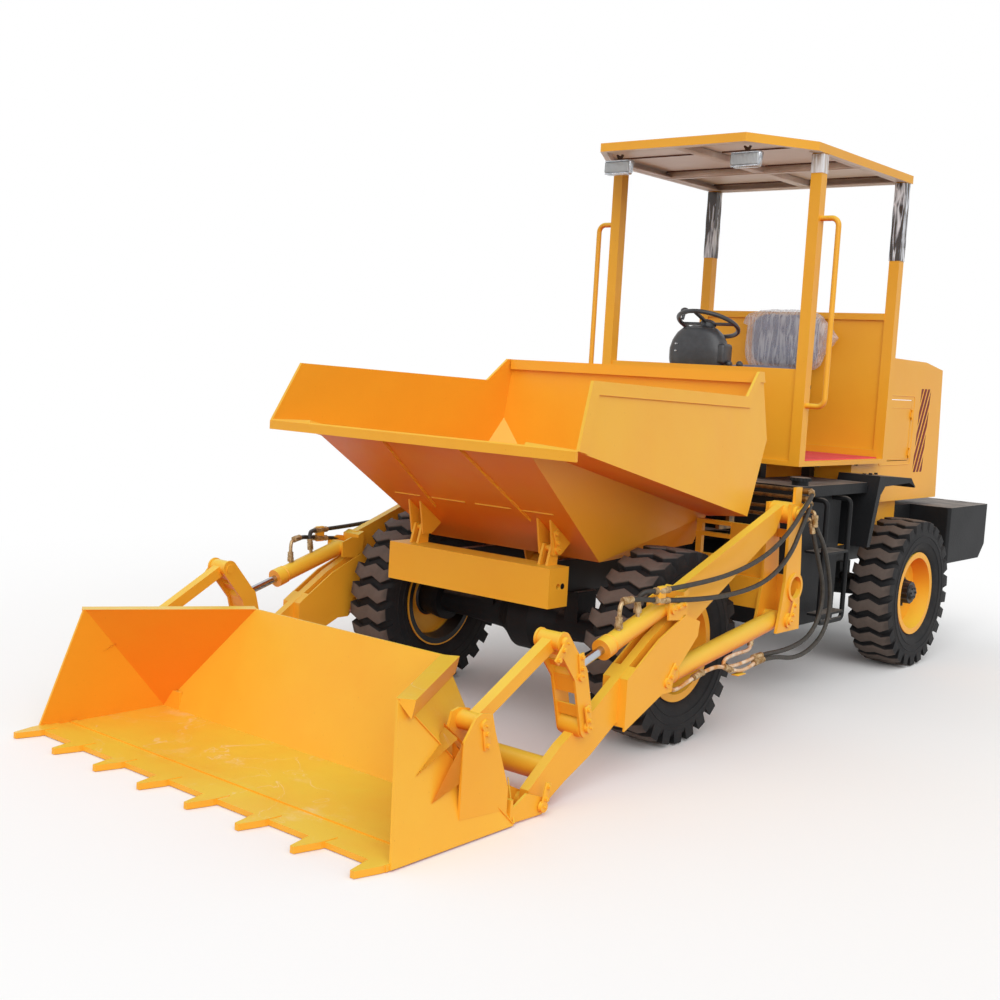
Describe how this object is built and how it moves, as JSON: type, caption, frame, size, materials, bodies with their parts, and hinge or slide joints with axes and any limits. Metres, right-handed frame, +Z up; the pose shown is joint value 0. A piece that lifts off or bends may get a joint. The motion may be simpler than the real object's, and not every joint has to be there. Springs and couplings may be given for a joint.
{
  "type": "self-loading site dumper",
  "caption": "Centre-articulated site dumper with a tipping skip over the front axle, lift arms with a toothed loading bucket, open canopy platform and rear engine hood.",
  "frame": {"origin": "on the ground, at the middle of the machine's length and width", "axes": "+Z up, -Y forward towards the bucket, +X to the machine's left"},
  "size_m": [2.054, 5.87, 2.812],
  "materials": {
    "painted_yellow": "gloss",
    "painted_black": "satin",
    "tyre": "matt",
    "chrome_rod": "polished",
    "axle_iron": "satin",
    "mat_red": "matt",
    "plastic_black": "matt",
    "seat_cover": "matt",
    "lamp_glass": "clear"
  },
  "bodies": {
    "rear_frame": {"rear_chassis": "painted_yellow", "rear_axle": "axle_iron", "engine_block": "axle_iron", "hood": "painted_yellow", "counterweight": "painted_black", "fenders": "painted_black", "side_boxes": "painted_black", "steps": "painted_black", "platform": "painted_yellow", "floor_mat": "mat_red", "canopy_posts": "painted_yellow", "roof_frame": "painted_yellow", "lamps": "lamp_glass", "handrails": "painted_yellow", "console": "plastic_black", "steering_wheel": "plastic_black", "levers": "painted_black", "seat": "seat_cover"},
    "hood_door": {"hood_door": "painted_yellow"},
    "wheel_fl": {"tyre_fl": "tyre", "rim_fl": "painted_yellow"},
    "wheel_fr": {"tyre_fr": "tyre", "rim_fr": "painted_yellow"},
    "wheel_rl": {"tyre_rl": "tyre", "rim_rl": "painted_yellow"},
    "wheel_rr": {"tyre_rr": "tyre", "rim_rr": "painted_yellow"},
    "front_frame": {"front_chassis": "painted_yellow", "front_axle": "axle_iron", "towers": "painted_yellow", "pipes": "painted_yellow"},
    "skip": {"skip": "painted_yellow"},
    "lift_arms": {"lift_arms": "painted_yellow"},
    "bell_cranks": {"bell_cranks": "painted_yellow"},
    "bucket_links": {"bucket_links": "painted_yellow"},
    "bucket": {"bucket": "painted_yellow", "bucket_teeth": "painted_yellow"},
    "tilt_barrels": {"tilt_barrels": "painted_yellow"},
    "tilt_rods": {"tilt_rods": "chrome_rod"},
    "lift_barrels": {"lift_barrels": "painted_yellow"},
    "lift_rods": {"lift_rods": "chrome_rod"},
    "tip_barrel": {"tip_barrel": "painted_yellow"},
    "tip_rod": {"tip_rod": "chrome_rod"}
  },
  "joints": [
    {"name": "wheel_fl_spin", "type": "hinge", "parent": "front_frame", "child": "wheel_fl", "pos_m": [0.7105, -0.82, 0.43], "axis": [1, 0, 0], "continuous": true},
    {"name": "wheel_fr_spin", "type": "hinge", "parent": "front_frame", "child": "wheel_fr", "pos_m": [-0.7105, -0.82, 0.43], "axis": [1, 0, 0], "continuous": true},
    {"name": "wheel_rl_spin", "type": "hinge", "parent": "rear_frame", "child": "wheel_rl", "pos_m": [0.7105, 1.728, 0.43], "axis": [1, 0, 0], "continuous": true},
    {"name": "wheel_rr_spin", "type": "hinge", "parent": "rear_frame", "child": "wheel_rr", "pos_m": [-0.7105, 1.728, 0.43], "axis": [1, 0, 0], "continuous": true},
    {"name": "articulation", "type": "hinge", "parent": "rear_frame", "child": "front_frame", "pos_m": [0, 0.45, 0.6], "axis": [0, 0, 1], "range_deg": [-30, 30]},
    {"name": "lift_arm_raise", "type": "hinge", "parent": "front_frame", "child": "lift_arms", "pos_m": [0, -0.245, 1.015], "axis": [-1, 0, 0], "range_deg": [0, 90]},
    {"name": "bucket_curl", "type": "hinge", "parent": "lift_arms", "child": "bucket", "pos_m": [0, -2.025, 0.036], "axis": [-1, 0, 0], "range_deg": [0, 36]},
    {"name": "bell_crank_pivot", "type": "hinge", "parent": "lift_arms", "child": "bell_cranks", "pos_m": [0, -1.77, 0.283], "axis": [-1, 0, 0], "range_deg": [0, 49.5]},
    {"name": "link_pivot", "type": "hinge", "parent": "bell_cranks", "child": "bucket_links", "pos_m": [0, -1.943, 0.626], "axis": [-1, 0, 0], "range_deg": [-34.11, 0]},
    {"name": "tilt_barrel_pivot", "type": "hinge", "parent": "lift_arms", "child": "tilt_barrels", "pos_m": [0, -1.219, 0.673], "axis": [-1, 0, 0], "range_deg": [-9.4, 0]},
    {"name": "tilt_rod_slide", "type": "slide", "parent": "tilt_barrels", "child": "tilt_rods", "axis": [0, -0.9561, -0.293], "range_m": [-0.1531, 0]},
    {"name": "lift_barrel_pivot", "type": "hinge", "parent": "front_frame", "child": "lift_barrels", "pos_m": [0, -0.246, 0.522], "axis": [-1, 0, 0], "range_deg": [0, 75.19]},
    {"name": "lift_rod_slide", "type": "slide", "parent": "lift_barrels", "child": "lift_rods", "axis": [0, -0.9888, -0.1491], "range_m": [0, 0.6165]},
    {"name": "skip_tip", "type": "hinge", "parent": "front_frame", "child": "skip", "pos_m": [0, -1.24, 0.84], "axis": [1, 0, 0], "range_deg": [0, 50]},
    {"name": "tip_barrel_pivot", "type": "hinge", "parent": "front_frame", "child": "tip_barrel", "pos_m": [0, 0.08, 0.54], "axis": [-1, 0, 0], "range_deg": [0, 20.16]},
    {"name": "tip_rod_slide", "type": "slide", "parent": "tip_barrel", "child": "tip_rod", "axis": [0, -0.9839, 0.1789], "range_m": [0, 0.1855]},
    {"name": "hood_door_hinge", "type": "hinge", "parent": "rear_frame", "child": "hood_door", "pos_m": [0.578, 2.016, 1.366], "axis": [0, 0, 1], "range_deg": [0, 100]}
  ],
  "couplings": [
    {"joint": "bell_crank_pivot", "follows": "bucket_curl", "ratio": 1.3751},
    {"joint": "link_pivot", "follows": "bucket_curl", "ratio": -0.94752},
    {"joint": "tilt_barrel_pivot", "follows": "bucket_curl", "ratio": -0.26119},
    {"joint": "tilt_rod_slide", "follows": "bucket_curl", "m_per_rad": -0.24212},
    {"joint": "lift_barrel_pivot", "follows": "lift_arm_raise", "ratio": 0.83541},
    {"joint": "lift_rod_slide", "follows": "lift_arm_raise", "m_per_rad": 0.39185},
    {"joint": "tip_barrel_pivot", "follows": "skip_tip", "ratio": 0.40326},
    {"joint": "tip_rod_slide", "follows": "skip_tip", "m_per_rad": 0.2114}
  ]
}
